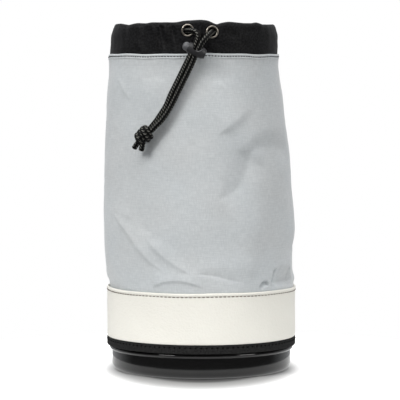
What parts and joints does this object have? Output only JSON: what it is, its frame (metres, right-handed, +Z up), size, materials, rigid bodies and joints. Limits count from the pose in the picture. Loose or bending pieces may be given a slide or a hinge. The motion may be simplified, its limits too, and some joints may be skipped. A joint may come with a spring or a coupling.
{
  "type": "rope storage bag",
  "caption": "Upright round drawstring bag with a woven wall, gathered cord collar with two eyelets and a sliding cord lock, stiffened band and moulded base cup.",
  "frame": {"origin": "centre of the base cup's flat underside, on the surface that the bag stands on", "axes": "+Z up through the mouth; the two eyelets and the cord lock face -Y; +X to the right of someone facing the eyelets"},
  "size_m": [0.1937, 0.1962, 0.348],
  "materials": {
    "moulded_base": "glossy black moulding",
    "stiffener_sheet": "plain polyethylene sheet",
    "leatherette": "ivory, fine pebble grain",
    "binding": "black woven binding strip",
    "woven_wall": "light grey coated plain weave",
    "collar_nylon": "black fine nylon, gathered",
    "eyelet_metal": "polished nickel plate",
    "cord": "black braided cord",
    "lock_barrel": "satin black moulding",
    "lock_button": "satin dark grey moulding",
    "spring_wire": "drawn wire",
    "dark_thread": "charcoal sewing thread",
    "taupe_thread": "taupe sewing thread"
  },
  "bodies": {
    "bag": {"base_cup": "moulded_base", "band_stiffener": "stiffener_sheet", "leather_band": "leatherette", "base_trim": "binding", "body_fabric": "woven_wall", "drawcord_collar": "collar_nylon", "eyelet_backing_patch": "collar_nylon", "eyelet_left": "eyelet_metal", "eyelet_right": "eyelet_metal", "eyelet_washer_left": "eyelet_metal", "eyelet_washer_right": "eyelet_metal", "drawcord_channel_run": "cord", "drawcord_tail_left": "cord", "drawcord_tail_right": "cord", "drawcord_knot": "cord", "hem_topstitch": "dark_thread", "band_topstitch": "taupe_thread", "trim_stitching": "dark_thread", "back_seam_stitching": "dark_thread", "band_seam_stitching": "taupe_thread"},
    "cord_lock": {"cord_lock_barrel": "lock_barrel", "cord_lock_spring": "spring_wire"},
    "button": {"cord_lock_plunger": "lock_button"}
  },
  "joints": [
    {"name": "cord_lock_slide", "type": "slide", "parent": "bag", "child": "cord_lock", "axis": [-0.4415, 0, -0.8973], "range_m": [0, 0.04]},
    {"name": "button_press", "type": "slide", "parent": "cord_lock", "child": "button", "axis": [0.9135, 0, -0.4067], "range_m": [0, 0.0026], "stiffness_N_per_m": 600, "springref_m": -0.003, "deforming": ["cord_lock_spring"]}
  ]
}
